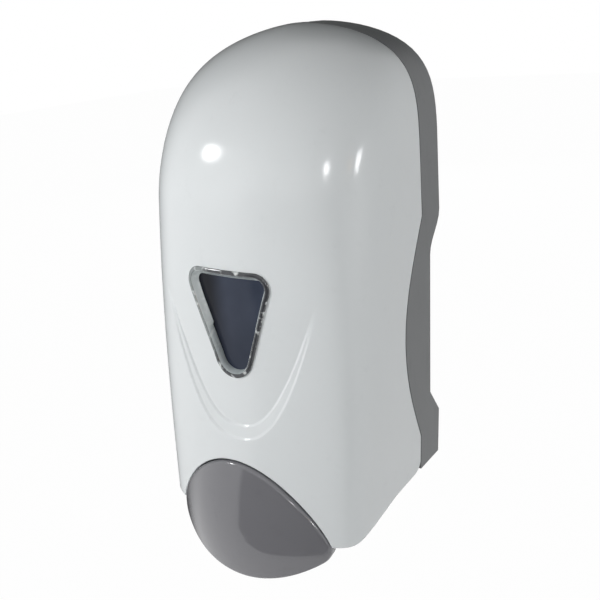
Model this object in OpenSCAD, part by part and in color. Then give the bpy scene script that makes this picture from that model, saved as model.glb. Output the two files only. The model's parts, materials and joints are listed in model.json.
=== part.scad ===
// Wall mounted foam soap dispenser with a push bar.
// Millimetres. Z is up, the wall is the plane y = 0 and the front faces -Y.
// The origin is the middle of the four wall screws, on the wall.

/* [Body outline] */
// Widest width of the body, at its shoulder
body_w = 132.4; // [128:0.2:138]
// Width of the body at its foot
foot_w = 123; // [119:0.5:127]
// Height from the crown down to the tips of the cover, beside the push bar
body_h = 249.5; // [247:0.5:256]
// How far below the crown the body reaches its widest
shoulder_drop = 94; // [88:1:98]
// How far below the crown the mount centre lies
mount_drop = 135; // [125:1:145]

/* [Cover] */
// Depth from the wall to the front of the cover, at its brow
brow_depth = 97; // [95:0.5:102]
// How far below the crown the front reaches that depth
brow_drop = 82; // [74:1:88]
// Depth from the wall to the front of the cover, at its foot
foot_depth = 110; // [107:0.5:113]
// How far the sides of the front lie back, as a share of its depth
front_crown = 0.18; // [0.14:0.01:0.2]
// Squareness of the cover's corners at the foot, where 2 is an ellipse
corner_square = 11; // [9:0.5:12]
// How much squarer still the corners get towards the foot
foot_square = 12; // [8:1:14]
// Wall of the cover
cover_wall = 2.5; // [2.2:0.1:2.8]
// How far below the crown the back of the cover's foot lies
heel_drop = 243; // [241:0.5:245]
// Radius of the cover's heel, about the hinge
heel_r = 7; // [6.5:0.1:7.5]
// Gap between the cover and the plate
split_gap = 0.4; // [0.35:0.05:0.6]

/* [Arch and push bar] */
// Half width of the arch, at the cover's tips
arch_half_w = 49.8; // [48:0.2:51]
// Rise of the arch above the tips
arch_rise = 40.3; // [38:0.1:42]
// Gap between the arch and the push bar
arch_gap = 0.7; // [0.5:0.1:1]
// How far the push bar reaches below the cover's tips
bar_drop = 22; // [20:0.5:24]
// Depth from the wall to the push bar's furthest point
bar_depth = 117.8; // [116:0.2:119]
// Radius of the push bar's curve, seen from above
bar_plan_r = 76; // [74:0.5:78]
// Radius of the push bar's curve, seen from the side
bar_side_r = 111; // [106:1:118]
// Radius of the push bar's lower edge, seen from the front
bar_edge_r = 87; // [82:1:92]
// Wall of the push bar
bar_wall = 2.6; // [2.4:0.1:3]

/* [Back plate] */
// Depth of the plate's skirt behind the dome
skirt_depth = 19.6; // [18.5:0.1:20.5]
// Depth that the skirt gains where it bows forward
skirt_bow = 20.7; // [18:0.1:22]
// Depth of the skirt beside the hinge
skirt_low = 22.5; // [21.5:0.1:23.5]
// Wall of the skirt
skirt_wall = 2.6; // [2.2:0.1:3]
// Thickness of the plate's back panel
panel_t = 3; // [2.6:0.1:3.4]
// Distance between the wall and the panel, where the panel steps off the wall
step_off = 11.7; // [10:0.1:12.5]

/* [Wall mount] */
// Spacing of the wall screws across the plate
mount_x = 70; // [60:1:80]
// Spacing of the wall screws up the plate
mount_z = 180; // [176:1:184]
// Radius of the wall screw holes
mount_hole_r = 2.75; // [2.25:0.05:3.25]

/* [Sight window] */
// Radius of the window's upper corners
window_corner_r = 7.5; // [6.5:0.1:8.5]
// Half width of the window
window_half_w = 24.6; // [23:0.1:26]
// Radius of the window's lower end
window_end_r = 11.5; // [10:0.1:13]
// How far below the crown the window begins
window_top = 108.5; // [104:0.5:114]
// Height of the window
window_h = 55; // [52:0.5:58]
// How far the window's rim stands proud of the cover
window_proud = 1.3; // [0.8:0.1:1.8]

/* [Hinge and pivots] */
// Radius of the hinge pins
hinge_pin_r = 2.5; // [2:0.1:3]
// Radius of the push bar's pins
bar_pin_r = 2.5; // [2:0.1:3]
// Radial clearance of a pin in the piece that turns on it
run_gap = 0.05; // [0.02:0.01:0.09]
// Depth from the wall to the push bar's pins
pivot_depth = 76; // [75:0.1:77]

/* [Bottle] */
// Width of the bottle
bottle_w = 104; // [98:1:106]
// Depth of the bottle
bottle_d = 69; // [66:0.5:70]
// How far below the crown the bottle's shoulder lies
bottle_top = 46; // [44:0.5:50]
// How far below the crown the bottle's foot lies
bottle_foot = 150; // [146:0.5:152]
// Wall of the bottle
bottle_wall = 1.4; // [1.1:0.1:1.8]
// Radius of the filling mouth
mouth_r = 20; // [18:0.5:21]
// Pitch of the filler cap's thread
cap_pitch = 4; // [3:0.5:4]

/* [Pump] */
// Stroke of the pump
stroke = 6; // [5:0.1:6.4]
// Bore radius of the air cylinder
air_r = 10; // [9.5:0.1:10.5]
// Bore radius of the liquid cylinder
liquid_r = 5; // [4.6:0.1:5.2]
// Outer radius of the bottle's neck
neck_r = 16.9; // [16.4:0.1:17.2]
// Radius of the stem's drive flange
flange_r = 15; // [14:0.1:16]

/* [Lock] */
// Radius of the lock's core
core_r = 4; // [3.6:0.1:4.2]
// Wall of the lock's body
lock_wall = 1.5; // [1.2:0.1:1.7]

/* [Hidden] */
$fn = 64;
eps = 0.01;
far = 200;
seat_gap = 0.3;

// ---- the body's form: every height below is measured down from the crown ----
function at(drop) = mount_drop - drop;
arch_power = 6.5;
arch_round = 0.656;
brow_power = 1.84;
taper_power = 1.6;
function half_w(d) = d < shoulder_drop
    ? body_w / 2 * pow(1 - pow(1 - d / shoulder_drop, arch_power), arch_round)
    : body_w / 2 - (body_w - foot_w) / 2 * pow((d - shoulder_drop) / (body_h - shoulder_drop), taper_power);
function front(d) = d < brow_drop
    ? skirt_depth + (brow_depth - skirt_depth) * pow(1 - pow(1 - d / brow_drop, brow_power), 1 / brow_power)
    : brow_depth + (foot_depth - brow_depth) * pow((d - brow_drop) / (body_h - brow_drop), 1.25);
function square_at(d) = 2 + (corner_square - 2) * pow(d / body_h, 1.12)
    + foot_square * pow(d / body_h, 3);

// ---- the joint line between the plate and the cover ----
bow_start = 96;
bow_middle = 158;
bow_end = 221;
function edge_depth(d) =
    d < bow_start ? skirt_depth :
    d < bow_middle ? skirt_depth + skirt_bow * sin(90 * (d - bow_start) / (bow_middle - bow_start)) :
    d < bow_end ? skirt_low + (skirt_depth + skirt_bow - skirt_low)
        * cos(90 * (d - bow_middle) / (bow_end - bow_middle)) :
    skirt_low;

// Heights at which the form is drawn: close together over the dome, where it curves most.
dome_rows = 12;
bow_rows = 12;
form_drop = body_h + 6;
rows = concat(
    [for (i = [0:dome_rows - 1]) max(0.06, shoulder_drop * pow(i / dome_rows, 2))],
    [for (i = [0:bow_rows]) bow_start + (bow_end - bow_start) * i / bow_rows],
    [bow_end + 16, form_drop]);
edge_drops = [for (d = rows) if (d >= bow_start && d <= bow_end) d];
cols = 24;
last_row = len(rows) - 1;

// A skin that stands grow outside the cover's, or inside it where grow is negative.
function lift(d, grow) = d < shoulder_drop ? d * (1 + grow / shoulder_drop) - grow : d;
function wide(d, grow) = half_w(d) * (1 + grow / (body_w / 2));
function deep(d, grow) = (front(d) - skirt_depth - split_gap) * (1 + grow / (brow_depth - skirt_depth));
function start(d, grow) = atan((edge_depth(d) - skirt_depth) / (deep(d, grow) * (1 - front_crown)));
function skin_point(d, a, grow) =
    let (m = square_at(d), r = pow(pow(abs(cos(a)), m) + pow(sin(a), m), 1 / m),
        across = cos(a) / r, out = sin(a) / r * (1 - front_crown * across * across))
    [wide(d, grow) * across, -skirt_depth - split_gap - deep(d, grow) * out, at(lift(d, grow))];
function skin(row, col, grow) =
    let (d = rows[row], a = start(d, grow))
    skin_point(d, a + (180 - 2 * a) * col / cols, grow);

// A closed slab between two like grids of points, given row by row; crown closes row 0.
module slab(points, nr, nc, crown = false) {
    half = nr * nc;
    outer = [for (r = [0:nr - 2]) for (c = [0:nc - 2])
        let (p = r * nc + c) each [[p, p + nc, p + 1], [p + 1, p + nc, p + nc + 1]]];
    inner = [for (f = outer) [half + f[0], half + f[2], half + f[1]]];
    foot = [for (c = [0:nc - 2])
        let (p = (nr - 1) * nc + c) each [[p, half + p, p + 1], [p + 1, half + p, half + p + 1]]];
    left = [for (r = [0:nr - 2])
        let (p = r * nc) each [[p, half + p, p + nc], [p + nc, half + p, half + p + nc]]];
    right = [for (r = [0:nr - 2])
        let (p = r * nc + nc - 1) each [[p, p + nc, half + p], [p + nc, half + p + nc, half + p]]];
    top = crown
        ? [[for (c = [0:nc - 1]) c], [for (c = [nc - 1:-1:0]) half + c],
            [0, nc - 1, half], [nc - 1, half + nc - 1, half]]
        : [for (c = [0:nc - 2]) each [[c, c + 1, half + c], [c + 1, half + c + 1, half + c]]];
    polyhedron(points = points, faces = concat(outer, inner, foot, left, right, top));
}
module skins(r0, r1, c0, c1, outside, inside, crown = false) {
    points = [for (g = [outside, inside]) for (r = [r0:r1]) for (c = [c0:c1]) skin(r, c, g)];
    slab(points, r1 - r0 + 1, c1 - c0 + 1, crown);
}

// The same outline seen from the front, for the plate behind the cover.
fine_rows = 26;
fine_drops = concat([for (i = [0:fine_rows]) max(0.06, shoulder_drop * pow(i / fine_rows, 2))],
    [for (i = [1:14]) shoulder_drop + (form_drop - shoulder_drop) * i / 14]);
module outline(grow, end_drop) {
    drops = concat([for (d = fine_drops) if (d < end_drop) d], [end_drop]);
    right = [for (d = drops) [wide(d, grow), at(lift(d, grow))]];
    left = [for (i = [len(drops) - 1:-1:0]) [-right[i][0], right[i][1]]];
    polygon(concat(right, left));
}

// Extrudes a shape drawn in Y and Z across X, and one drawn in X and Z towards the front.
module across(from, to) {
    translate([from, 0, 0]) rotate([90, 0, 90]) linear_extrude(to - from) children();
}
module forward(from, to) {
    translate([0, -from, 0]) rotate([90, 0, 0]) linear_extrude(to - from) children();
}
module both_sides() {
    children();
    mirror([1, 0, 0]) children();
}

// ---- hinge, arch and push bar axes ----
hinge_y = -(skirt_low + split_gap + heel_r);
hinge_z = at(heel_drop) + heel_r;
tip_z = at(body_h);

// What the heel and the foot line cut away from under the cover, seen from the side.
module foot_cut() {
    heel = [for (a = [0:-15:-90]) [hinge_y + heel_r * cos(a), hinge_z + heel_r * sin(a)]];
    foot_line = [[hinge_y - 22, at(heel_drop) - 0.6], [hinge_y - 45, tip_z + 2.2],
        [hinge_y - 68, tip_z], [-far, tip_z]];
    below = at(form_drop + 9);
    polygon(concat([[0, hinge_z]], heel, foot_line, [[-far, below], [0, below]]));
}

arch_bend = 0.82;
function arch_z(x, half, rise) = tip_z + rise * pow(max(0, 1 - pow(x / half, 2)), arch_bend);
function arch_points(half, rise) = [for (i = [-12:12])
    let (x = half * sin(90 * i / 12)) [x, arch_z(x, half, rise)]];

// The push bar seen from the front, grown outward by grow.
bar_corner_r = 7;
bar_foot_z = tip_z - bar_drop;
bar_half_w = arch_half_w - arch_gap;
bar_corner_z = tip_z - 3;
function bar_loop(grow) =
    let (edge_c = bar_foot_z + bar_edge_r, corner_x = bar_half_w - bar_corner_r,
        reach = corner_x + bar_corner_r / 2,
        corner = [for (a = [0:-20:-60])
            [corner_x + (bar_corner_r + grow) * cos(a), bar_corner_z + (bar_corner_r + grow) * sin(a)]],
        edge = [for (i = [5:-1:-5])
            let (x = reach * i / 5) [x, edge_c - sqrt(pow(bar_edge_r + grow, 2) - x * x)]],
        left = [for (i = [len(corner) - 1:-1:0]) [-corner[i][0], corner[i][1]]])
    concat(arch_points(bar_half_w + grow, arch_rise - arch_gap + grow), corner, edge, left);
// How much of the lip each point of the loop carries: all along the arch, none below it.
function lip_loop(reach) =
    let (thin = bar_loop(0), full = bar_loop(reach))
    [for (i = [0:len(thin) - 1]) thin[i] + (full[i] - thin[i]) * lip_share(i)];
function lip_share(i) = i < 1 || i > 23 ? 0 : i < 3 || i > 21 ? 0.6 : 1;

// The push bar's face is round seen from above, and bows gently seen from the side.
bar_axis_y = -(bar_depth - bar_plan_r);
bar_bulge_z = tip_z - 8.5;
bar_mid_z = tip_z + 4;
function bar_round(z, inset) =
    bar_plan_r - bar_side_r + sqrt(pow(bar_side_r - inset, 2) - pow(z - bar_bulge_z, 2));
function bar_at(p, inset) = [p[0], bar_axis_y - sqrt(pow(bar_round(p[1], inset), 2) - p[0] * p[0]), p[1]];
function bar_ring(loop, share, inset) =
    [for (p = loop) bar_at([p[0] * share, bar_mid_z + (p[1] - bar_mid_z) * share], inset)];

// ---- pump and bottle places ----
shelf_t = 3.5;
flange_t = 3;
panel_face = step_off + panel_t;
bottle_back = panel_face + flange_t + 0.8;
pump_y = -(bottle_back + bottle_d / 2);
neck_h = 18;
gasket_t = 1.5;
body_flange_t = 2.5;
seat_z = at(bottle_foot + neck_h);
body_z = seat_z - gasket_t;
collar_z = body_z - body_flange_t;
drive_z = collar_z - 25;
drive_t = 3;
tine_r = 4;
tine_z = drive_z - drive_t - seat_gap;
// The fork's ends sit as far below the pins at rest as above them when pressed.
pivot_z = tine_z - tine_r + stroke / 2;
pivot_y = -pivot_depth;

// ---- back plate ----
step_start = 97;
step_full = 119;
step_back = 199;
step_end = 215;
module plate_side(inset, front_edge) {
    ramp = [for (i = [0:6]) let (t = i / 6)
        [-step_off * (1 - cos(180 * t)) / 2 - inset, at(step_start + (step_full - step_start) * t)]];
    skirt = [for (i = [len(edge_drops) - 1:-1:0]) [-edge_depth(edge_drops[i]), at(edge_drops[i])]];
    nose = front_edge
        ? concat([[-skirt_low, at(heel_drop)], [-skirt_low, at(bow_end)]], skirt, [[-skirt_depth, at(-2)]])
        : [[-far, at(heel_drop)], [-far, at(-2)]];
    polygon(concat([[-inset, at(-2)]], ramp,
        [[-step_off - inset, at(step_back)], [-inset, at(step_end)], [-inset, at(heel_drop)]], nose));
}

lug_in = 45.5;
lug_out = 51.5;
module back_plate() {
    color("dimgray") difference() {
        union() {
            intersection() {
                forward(0, 60) outline(0, heel_drop);
                across(-far, far) plate_side(0, true);
            }
            both_sides() across(lug_in, lug_out) hinge_lug();
        }
        intersection() {
            forward(0, 80) outline(-skirt_wall, heel_drop - skirt_wall);
            across(-lug_in, lug_in) plate_side(panel_t, false);
        }
        both_sides() intersection() {
            forward(0, 80) outline(-skirt_wall, heel_drop - skirt_wall);
            across(lug_in, far) difference() {
                plate_side(panel_t, false);
                hinge_lug();
            }
        }
        both_sides() intersection() {
            forward(0, 80) outline(-skirt_wall, heel_drop - skirt_wall);
            across(lug_out, far) plate_side(panel_t, false);
        }
        for (x = [-mount_x / 2, mount_x / 2], z = [-mount_z / 2, mount_z / 2])
            translate([x, eps, z]) rotate([90, 0, 0]) cylinder(r = mount_hole_r, h = panel_t + 2);
        both_sides() hinge_bore(lug_in - 1, lug_out + 1, hinge_pin_r);
        both_sides() translate([shelf_screw_x, 0, shelf_screw_z]) rotate([90, 0, 0])
            cylinder(r = screw_r, h = panel_face + 1);
        translate([0, -lock_y, at(lock_foot)]) cylinder(r = core_r + lock_wall, h = lock_foot + 5);
    }
}
module hinge_lug() {
    polygon([[-1, at(heel_drop - 22)], [hinge_y, hinge_z + 6], [hinge_y, hinge_z - 6],
        [-1, hinge_z - 6]]);
    translate([hinge_y, hinge_z]) circle(r = 6);
}
module hinge_bore(from, to, r) {
    translate([from, hinge_y, hinge_z]) rotate([0, 90, 0]) cylinder(r = r, h = to - from);
}

// ---- bottle shelf, with its two screws ----
shelf_half_w = 48;
shelf_front = pump_y - 28;
shelf_leg = 34;
shelf_z = at(bottle_foot) - seat_gap;
screw_r = 1.75;
screw_head_r = 4;
shelf_screw_x = 32;
screw_drop = 20;
shelf_screw_z = shelf_z - screw_drop;
collar_wall = 4.1;
collar_r = neck_r + collar_wall;
slot_r = collar_r + 1;
module bottle_shelf() {
    color("silver") difference() {
        union() {
            translate([-shelf_half_w, shelf_front, shelf_z - shelf_t])
                cube([2 * shelf_half_w, -panel_face - shelf_front, shelf_t]);
            translate([-shelf_half_w + 3, -panel_face - flange_t, shelf_z - shelf_leg])
                cube([2 * shelf_half_w - 6, flange_t, shelf_leg]);
            both_sides() across(shelf_half_w - 6, shelf_half_w - 3) polygon([
                [-panel_face, shelf_z - 1], [-panel_face, shelf_z - shelf_leg],
                [-panel_face - flange_t, shelf_z - shelf_leg], [shelf_front + 6, shelf_z - shelf_t],
                [shelf_front + 6, shelf_z - 1]]);
        }
        translate([0, pump_y, shelf_z - far / 2]) cylinder(r = slot_r, h = far);
        translate([-slot_r, pump_y - 60, shelf_z - far / 2]) cube([2 * slot_r, 60, far]);
        both_sides() translate([shelf_screw_x, 0, shelf_screw_z]) rotate([90, 0, 0])
            cylinder(r = screw_r, h = far);
    }
}
module shelf_screws() {
    color("lightgray") both_sides() translate([shelf_screw_x, -panel_face - flange_t, shelf_screw_z])
        rotate([90, 0, 0]) difference() {
            union() {
                translate([0, 0, -panel_t - flange_t + 0.5]) cylinder(r = screw_r, h = panel_t + flange_t);
                cylinder(r = screw_head_r, h = 2);
            }
            translate([-0.5, -2.4, 1]) cube([1, 4.8, 2]);
            translate([-2.4, -0.5, 1]) cube([4.8, 1, 2]);
        }
}

// ---- hinge pins: fast in the plate's lugs, free in the cover ----
hinge_boss_in = lug_out + 0.4;
hinge_pin_end = hinge_boss_in + 6;
module hinge_pins() {
    color("silver") both_sides() hinge_bore(lug_in, hinge_pin_end, hinge_pin_r);
}

// ---- lock: a core turned by a key from above, whose cam swings in front of the cover's catch ----
lock_y = 11;
lock_foot = 16;
cam_gap = 0.4;
cam_t = 2.4;
nose_t = 2.5;
nose_gap = 0.4;
catch_y = 27.5;
catch_t = 3;
catch_drop = 14;
catch_w = 8;
nose_in = sqrt(pow(catch_y - lock_y, 2) + pow(catch_w / 2, 2)) + nose_gap;
nose_out = nose_in + nose_t;
cam_z = at(lock_foot) - cam_gap - cam_t;
module lock_body() {
    color("silver") translate([0, -lock_y, 0]) difference() {
        union() {
            translate([0, 0, at(lock_foot)]) cylinder(r = core_r + lock_wall, h = lock_foot - 1);
            translate([0, 0, at(skirt_wall + 2.8)]) cylinder(r = core_r + 2.8, h = 2);
        }
        translate([0, 0, at(lock_foot + 1)]) cylinder(r = core_r + run_gap, h = lock_foot + 2);
    }
}
module lock_core() {
    color("gold") translate([0, -lock_y, 0]) difference() {
        union() {
            translate([0, 0, cam_z + cam_t]) cylinder(r = core_r, h = lock_foot - 1.2 + cam_gap);
            translate([0, 0, cam_z - 1]) cylinder(r = core_r - 1.5, h = cam_t + 2);
        }
        translate([-0.6, -2.6, at(5)]) cube([1.2, 5.2, 6]);
    }
}
module lock_cam() {
    color("lightgray") translate([0, -lock_y, cam_z]) difference() {
        union() {
            linear_extrude(cam_t) difference() {
                union() {
                    circle(r = core_r);
                    translate([0, -core_r + 0.5]) square([nose_in + 0.5, 2 * core_r - 1]);
                }
                circle(r = core_r - 1.5);
            }
            linear_extrude(at(catch_drop - 3) - cam_z) intersection() {
                difference() {
                    circle(r = nose_out);
                    circle(r = nose_in);
                }
                translate([0, -core_r + 0.5]) square([nose_out + 1, 2 * core_r - 1]);
            }
        }
    }
}

// A coil spring of round wire between two heights, with its axis upright.
module coil(radius, wire, low, high, turns) {
    sides = 6;
    steps = 14;
    n = turns * steps;
    rise = high - low - 2 * wire;
    ring = [for (i = [0:n]) for (k = [0:sides - 1])
        let (a = 360 * i / steps, b = 360 * k / sides, r = radius + wire * cos(b))
        [r * cos(a), r * sin(a), low + wire + rise * i / n + wire * sin(b)]];
    walls = [for (i = [0:n - 1]) for (k = [0:sides - 1])
        let (a = i * sides + k, b = i * sides + (k + 1) % sides)
        each [[a, a + sides, b], [b, a + sides, b + sides]]];
    ends = [[for (k = [0:sides - 1]) k], [for (k = [sides - 1:-1:0]) n * sides + k]];
    polyhedron(points = ring, faces = concat(walls, ends));
}
// ---- front cover ----
pivot_boss_r = 5;
pivot_boss_in = 45.4;
boss_sink = 1.1;
function inner_w(z) = wide(mount_drop - z, -cover_wall);
// The cover's corners round off in front of the pivots, so their bosses are a little shorter.
pivot_boss_out = inner_w(pivot_z) + 0.3;
module front_cover() {
    color("white") difference() {
        union() {
            difference() {
                skins(0, last_row, 0, cols, 0, -cover_wall, true);
                across(-far, far) foot_cut();
            }
            both_sides() hinge_bore(hinge_boss_in, inner_w(hinge_z) + boss_sink, heel_r - seat_gap);
            both_sides() pivot_bore(pivot_boss_in, pivot_boss_out, pivot_boss_r);
            translate([-catch_w / 2, -catch_y, at(catch_drop)])
                cube([catch_w, catch_t, catch_drop - cover_wall + 0.4]);
        }
        forward(60, far) polygon(concat(arch_points(arch_half_w, arch_rise),
            [[arch_half_w, tip_z - 20], [-arch_half_w, tip_z - 20]]));
        forward(60, far) window_outline(0);
        both_sides() hinge_bore(hinge_boss_in - 1, hinge_pin_end + 0.3, hinge_pin_r + run_gap);
        both_sides() pivot_bore(pivot_boss_in - 1, bar_pin_end, bar_pin_r);
    }
}
module pivot_bore(from, to, r) {
    translate([from, pivot_y, pivot_z]) rotate([0, 90, 0]) cylinder(r = r, h = to - from);
}

// ---- sight window: a clear shield with a proud rim, held by a flange behind the cover ----
module window_outline(grow) {
    cx = window_half_w - window_corner_r;
    cz = at(window_top + window_corner_r);
    ez = at(window_top + window_h - window_end_r);
    // angle at which the straight sides touch both the corner and the end
    slant = atan2(cx, cz - ez);
    span = sqrt(cx * cx + (cz - ez) * (cz - ez));
    touch = asin((window_end_r - window_corner_r) / span) - slant;
    corner = [for (i = [0:6]) let (a = 90 + (touch - 90) * i / 6)
        [cx + (window_corner_r + grow) * cos(a), cz + (window_corner_r + grow) * sin(a)]];
    end = [for (i = [0:12]) let (a = touch + (-180 - 2 * touch) * i / 12)
        [(window_end_r + grow) * cos(a), ez + (window_end_r + grow) * sin(a)]];
    left = [for (i = [6:-1:0]) [-corner[i][0], corner[i][1]]];
    polygon(concat(corner, end, left));
}
window_flange = 3;
window_t = 1.5;
rim_w = 4;
module glazing(outside, inside) {
    skins(dome_rows, dome_rows + 8, 5, cols - 5, outside, inside);
}
module sight_window() {
    seat = -cover_wall - 0.1;
    color("lightsteelblue") difference() {
        union() {
            intersection() {
                glazing(window_proud, seat - window_t);
                forward(60, far) window_outline(-0.15);
            }
            intersection() {
                glazing(seat, seat - window_t);
                forward(60, far) window_outline(window_flange);
            }
        }
        intersection() {
            glazing(window_proud + 1, -0.6);
            forward(60, far) window_outline(-rim_w);
        }
    }
}

// ---- push bar and its pins ----
ear_gap = 0.4;
ear_out = pivot_boss_in - ear_gap;
ear_t = 4.2;
ear_r = 7;
bar_pin_end = pivot_boss_in + 8;
lip_step = 5;
lip_t = 2;
lip_reach = 4.5;
fork_half_gap = 9.9;
fork_w = 4;
bridge_y = -67;
module bar_pins() {
    color("silver") both_sides() pivot_bore(ear_out - ear_t, bar_pin_end, bar_pin_r);
}
module push_bar() {
    loop = bar_loop(0);
    bore = bar_loop(-bar_wall);
    lip = lip_loop(lip_reach);
    n = len(loop);
    back = lip_step + lip_t;
    shares = [0.2, 0.45, 0.7, 0.88];
    // rings of points: out over the face, back along the rim and its lip, and in again behind
    rings = concat(
        [for (k = shares) bar_ring(loop, k, 0)],
        [bar_ring(loop, 1, 0)],
        [[for (i = [0:n - 1]) bar_at(loop[i], lip_step - 0.5 + 0.5 * lip_share(i))]],
        [[for (i = [0:n - 1]) bar_at(lip[i], lip_step + 0.3 - 0.3 * lip_share(i))]],
        [bar_ring(lip, 1, back), bar_ring(bore, 1, back), bar_ring(bore, 1, bar_wall)],
        [for (i = [3:-1:0]) bar_ring(bore, shares[i], bar_wall)]);
    last = len(rings) - 1;
    points = concat([for (r = rings) each r],
        [bar_at([0, bar_mid_z], 0), bar_at([0, bar_mid_z], bar_wall)]);
    face = [for (i = [0:n - 1]) [n * (last + 1), i, (i + 1) % n]];
    behind = [for (i = [0:n - 1]) [n * (last + 1) + 1, last * n + (i + 1) % n, last * n + i]];
    walls = [for (k = [0:last - 1]) for (i = [0:n - 1])
        let (a = k * n + i, b = k * n + (i + 1) % n)
        each [[a, a + n, b], [b, a + n, b + n]]];
    color("gray") polyhedron(points = points, faces = concat(face, walls, behind));
}

// ---- yoke: the lever behind the push bar, whose fork lifts the pump ----
foot_top = tip_z + 3;
foot_y = bar_at([ear_out, foot_top], bar_wall)[1] + seat_gap;
cheek_w = 14.7;
// the cheeks stand just clear of the back of the bar's lip
lip_back_y = bar_at([ear_out, tip_z + 4 * lip_reach - 1.5], lip_step + lip_t)[1] + 1;
module bar_yoke() {
    color("silver") difference() {
        union() {
            both_sides() across(ear_out - ear_t, ear_out) cheek();
            // bridge between the cheeks
            across(-ear_out + 1, ear_out - 1) polygon([[bridge_y - 6, tine_z], [bridge_y, tine_z],
                [bridge_y, tine_z - 5], [bridge_y - 6, tine_z - 5]]);
            // fork under the pump's drive flange
            both_sides() across(fork_half_gap, fork_half_gap + fork_w) union() {
                polygon([[bridge_y - 1, tine_z - 1.5], [pump_y + 5, tine_z - 1.5],
                    [pump_y + 5, tine_z - 4.5], [bridge_y - 1, tine_z - 5]]);
                translate([pump_y, tine_z - tine_r]) circle(r = tine_r);
            }
        }
        both_sides() pivot_bore(ear_out - ear_t - 1, ear_out + 1, bar_pin_r + run_gap);
    }
}
module cheek() {
    translate([pivot_y, pivot_z]) circle(r = ear_r);
    polygon([[pivot_y + ear_r, pivot_z], [pivot_y - ear_r, pivot_z], [lip_back_y, tip_z + 14],
        [lip_back_y, foot_top], [foot_y, foot_top], [foot_y, tip_z - 4.5], [foot_y + cheek_w, tip_z - 4.5],
        [bridge_y - 6, tine_z - 14], [bridge_y + 1, tine_z - 9.5], [bridge_y + 1, tine_z - 1]]);
}

// ---- bottle ----
mouth_y = -42;
mouth_h = 12;
neck_wall = 2.5;
module round_box(x0, x1, y0, y1, r) {
    translate([x0 + r, y0]) square([x1 - x0 - 2 * r, y1 - y0]);
    translate([x0, y0 + r]) square([x1 - x0, y1 - y0 - 2 * r]);
    for (x = [x0 + r, x1 - r], y = [y0 + r, y1 - r]) translate([x, y]) circle(r = r);
}
module bottle_form(t) {
    x = bottle_w / 2 - t;
    y0 = -bottle_back - t;
    y1 = -bottle_back - bottle_d + t;
    z0 = at(bottle_foot) + t;
    z1 = at(bottle_top) - t;
    high = 32 - t;
    low = 16 - t;
    right = concat([for (a = [-90:18:0]) [x - low + low * cos(a), z0 + low + low * sin(a)]],
        [for (a = [0:18:90]) [x - high + high * cos(a), z1 - high + high * sin(a)]]);
    left = [for (i = [len(right) - 1:-1:0]) [-right[i][0], right[i][1]]];
    neck_front = mouth_y - mouth_r - 4 + t / 2;
    intersection() {
        translate([0, 0, z0]) linear_extrude(z1 - z0) round_box(-x, x, y1, y0, 22 - t);
        forward(0, far) polygon(concat(right, left));
        across(-far, far) polygon([[y0 + 1, z0 - 1], [y0 + 1, z1 + 1], [neck_front, z1 + 1],
            [neck_front, z1], [y1, z1 - 40], [y1 - 1, z1 - 40], [y1 - 1, z0 - 1]]);
    }
}

module bottle() {
    color("aliceblue") difference() {
        union() {
            bottle_form(0);
            translate([0, pump_y, seat_z]) cylinder(r = neck_r, h = neck_h + 1);
            translate([0, mouth_y, at(bottle_top) - 1]) cylinder(r = mouth_r, h = mouth_h + 1);
        }
        bottle_form(bottle_wall);
        translate([0, pump_y, seat_z - 1])
            cylinder(r = neck_r - neck_wall, h = neck_h + 1 + 2 * bottle_wall);
        translate([0, mouth_y, at(bottle_top) - 2 * bottle_wall])
            cylinder(r = mouth_r - bottle_wall, h = mouth_h + 1 + 2 * bottle_wall);
    }
}

// ---- filler cap, turned up its thread by hand ----
cap_t = 2.5;
seal_t = 1.5;
cap_wall = 3.4;
thread_gap = 0.4;
cap_z = at(bottle_top) + mouth_h + seal_t;
cap_h = 10;
module filler_cap() {
    outer = mouth_r + thread_gap + cap_wall;
    color("whitesmoke") difference() {
        translate([0, mouth_y, cap_z - cap_h]) cylinder(r = outer, h = cap_h + cap_t);
        translate([0, mouth_y, cap_z - cap_h - 1]) cylinder(r = mouth_r + thread_gap, h = cap_h + 1);
        for (a = [0:15:345]) translate([0, mouth_y, cap_z - cap_h - 1]) rotate([0, 0, a])
            translate([outer + 0.6, 0, 0]) cylinder(r = 1.5, h = cap_h + 1);
    }
}
module ring(y, z, outer, inner, h) {
    translate([0, y, z]) difference() {
        cylinder(r = outer, h = h);
        translate([0, 0, -1]) cylinder(r = inner, h = h + 2);
    }
}
module cap_seal() {
    color("darkslategray") ring(mouth_y, cap_z - seal_t, mouth_r, mouth_r - bottle_wall - 1, seal_t);
}

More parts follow.
